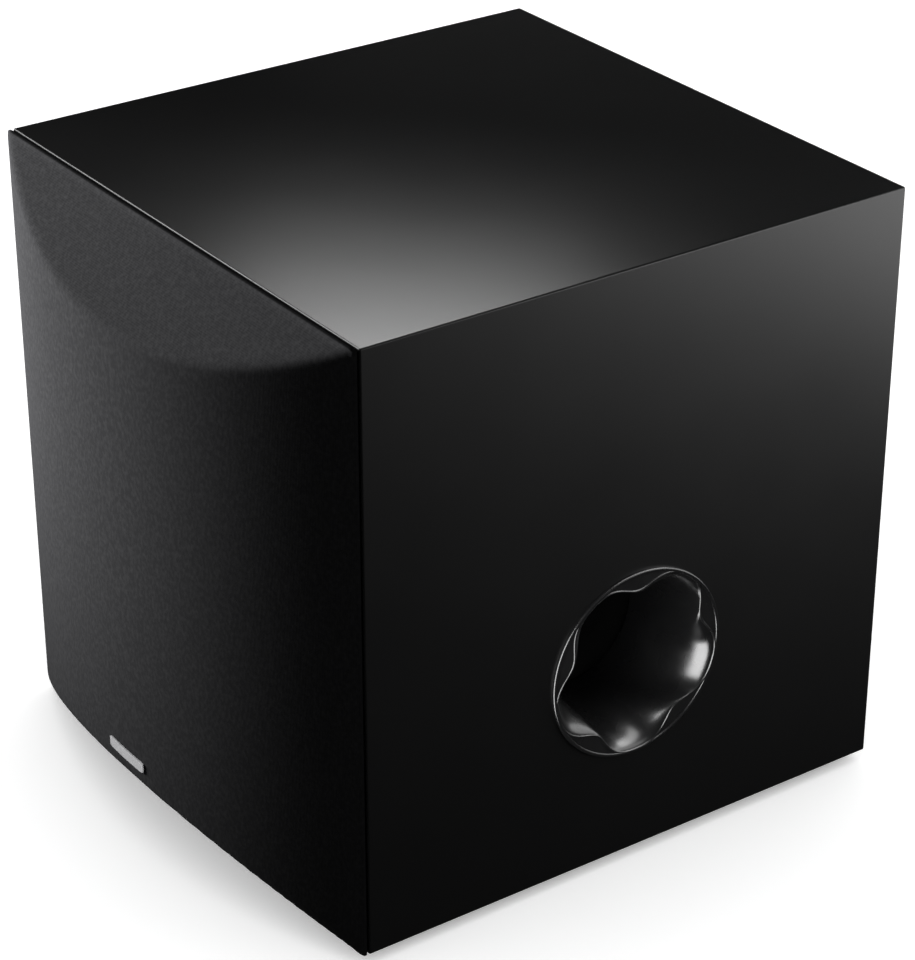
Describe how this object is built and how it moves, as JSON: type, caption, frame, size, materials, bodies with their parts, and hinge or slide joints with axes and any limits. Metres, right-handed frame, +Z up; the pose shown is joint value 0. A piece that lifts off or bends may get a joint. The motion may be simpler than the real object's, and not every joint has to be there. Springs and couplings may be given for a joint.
{
  "type": "powered subwoofer",
  "caption": "Compact black cube subwoofer with a bowed, faceted cloth grille on the front, a twisted lobed bass port in its right side and an amplifier panel on the back.",
  "frame": {"origin": "on the floor, under the middle of the whole object", "axes": "+X to the right side with the port, +Y to the back with the amplifier, +Z up; the grille faces -Y"},
  "size_m": [0.2915, 0.342, 0.3015],
  "materials": {
    "cabinet_film": "satin",
    "baffle_board": "matte",
    "felt": "matte",
    "foot_rubber": "matte",
    "black_steel": "satin",
    "frame_plastic": "matte",
    "grille_cloth": "matte",
    "socket_rubber": "matte",
    "badge_metal": "satin",
    "port_gloss": "gloss",
    "tube_card": "matte",
    "basket_steel": "satin",
    "gasket_foam": "matte",
    "surround_rubber": "matte",
    "spider_cloth": "matte",
    "cone_paper": "matte",
    "cap_paper": "matte",
    "former_aluminium": "satin",
    "copper_wire": "gloss",
    "zinc_steel": "satin",
    "ferrite": "matte",
    "terminal_brass": "satin",
    "wire_cover": "satin",
    "plate_paint": "satin",
    "board_green": "satin",
    "sink_aluminium": "satin",
    "core_iron": "matte",
    "capacitor_cover": "gloss",
    "knob_plastic": "satin",
    "switch_plastic": "satin",
    "rocker_plastic": "gloss",
    "rca_plastic": "satin",
    "rca_metal": "polished",
    "led_lens": "gloss",
    "lever_red": "gloss",
    "lever_black": "gloss"
  },
  "bodies": {
    "cabinet": {"top_panel": "cabinet_film", "bottom_panel": "cabinet_film", "left_panel": "cabinet_film", "right_panel": "cabinet_film", "front_baffle": "baffle_board", "rear_panel": "cabinet_film", "damping_felt": "felt", "feet": "foot_rubber", "foot_screws": "black_steel", "grille_sockets": "socket_rubber", "port_flare": "port_gloss", "port_tube": "tube_card", "driver_basket": "basket_steel", "driver_gasket": "gasket_foam", "surround": "surround_rubber", "spider": "spider_cloth", "top_plate": "zinc_steel", "magnet": "ferrite", "pole_yoke": "zinc_steel", "driver_terminals": "terminal_brass", "driver_screws": "black_steel", "speaker_wire": "wire_cover", "amp_plate": "plate_paint", "amp_gasket": "gasket_foam", "amp_board": "board_green", "board_standoffs": "zinc_steel", "heat_sink": "sink_aluminium", "transformer_core": "core_iron", "transformer_winding": "copper_wire", "capacitors": "capacitor_cover", "potentiometers": "zinc_steel", "phase_switch_body": "switch_plastic", "standby_switch_body": "switch_plastic", "power_switch_housing": "switch_plastic", "power_inlet": "switch_plastic", "inlet_pins": "terminal_brass", "rca_insulator": "rca_plastic", "rca_barrel": "rca_metal", "terminal_block": "switch_plastic", "wire_guides": "switch_plastic", "status_led": "led_lens", "amp_screws": "black_steel"},
    "grille": {"grille_frame": "frame_plastic", "grille_cloth": "grille_cloth", "badge": "badge_metal"},
    "cone_assembly": {"cone": "cone_paper", "dust_cap": "cap_paper", "coil_former": "former_aluminium", "voice_coil": "copper_wire"},
    "volume_control": {"volume_knob": "knob_plastic", "volume_shaft": "zinc_steel"},
    "crossover_control": {"crossover_knob": "knob_plastic", "crossover_shaft": "zinc_steel"},
    "phase_switch": {"phase_slider": "switch_plastic"},
    "standby_switch": {"standby_slider": "switch_plastic"},
    "power_switch": {"power_rocker": "rocker_plastic"},
    "wire_lever_1": {"terminal_lever_1": "lever_red"},
    "wire_lever_2": {"terminal_lever_2": "lever_black"},
    "wire_lever_3": {"terminal_lever_3": "lever_red"},
    "wire_lever_4": {"terminal_lever_4": "lever_black"}
  },
  "joints": [
    {"name": "grille_pull", "type": "slide", "parent": "cabinet", "child": "grille", "axis": [0, -1, 0], "range_m": [0, 0.12]},
    {"name": "cone_travel", "type": "slide", "parent": "cabinet", "child": "cone_assembly", "axis": [0, -1, 0], "range_m": [-0.008, 0.008], "stiffness_N_per_m": 2400, "deforming": ["surround", "spider"]},
    {"name": "volume_turn", "type": "hinge", "parent": "cabinet", "child": "volume_control", "pos_m": [-0.05, 0.1555, 0.22875], "axis": [0, -1, 0], "range_deg": [-150, 150]},
    {"name": "crossover_turn", "type": "hinge", "parent": "cabinet", "child": "crossover_control", "pos_m": [0.01, 0.1555, 0.22875], "axis": [0, -1, 0], "range_deg": [-150, 150]},
    {"name": "phase_slide", "type": "slide", "parent": "cabinet", "child": "phase_switch", "axis": [1, 0, 0], "range_m": [0, 0.004]},
    {"name": "standby_slide", "type": "slide", "parent": "cabinet", "child": "standby_switch", "axis": [1, 0, 0], "range_m": [-0.003, 0.003]},
    {"name": "power_tip", "type": "hinge", "parent": "cabinet", "child": "power_switch", "pos_m": [-0.06, 0.154, 0.07575], "axis": [1, 0, 0], "range_deg": [0, 14]},
    {"name": "lever_press_1", "type": "hinge", "parent": "cabinet", "child": "wire_lever_1", "pos_m": [-0.021, 0.149, 0.13875], "axis": [-1, 0, 0], "range_deg": [0, 18], "stiffness_Nm_per_rad": 0.05, "springref_deg": -11.46},
    {"name": "lever_press_2", "type": "hinge", "parent": "cabinet", "child": "wire_lever_2", "pos_m": [-0.007, 0.149, 0.13875], "axis": [-1, 0, 0], "range_deg": [0, 18], "stiffness_Nm_per_rad": 0.05, "springref_deg": -11.46},
    {"name": "lever_press_3", "type": "hinge", "parent": "cabinet", "child": "wire_lever_3", "pos_m": [0.007, 0.149, 0.13875], "axis": [-1, 0, 0], "range_deg": [0, 18], "stiffness_Nm_per_rad": 0.05, "springref_deg": -11.46},
    {"name": "lever_press_4", "type": "hinge", "parent": "cabinet", "child": "wire_lever_4", "pos_m": [0.021, 0.149, 0.13875], "axis": [-1, 0, 0], "range_deg": [0, 18], "stiffness_Nm_per_rad": 0.05, "springref_deg": -11.46}
  ]
}
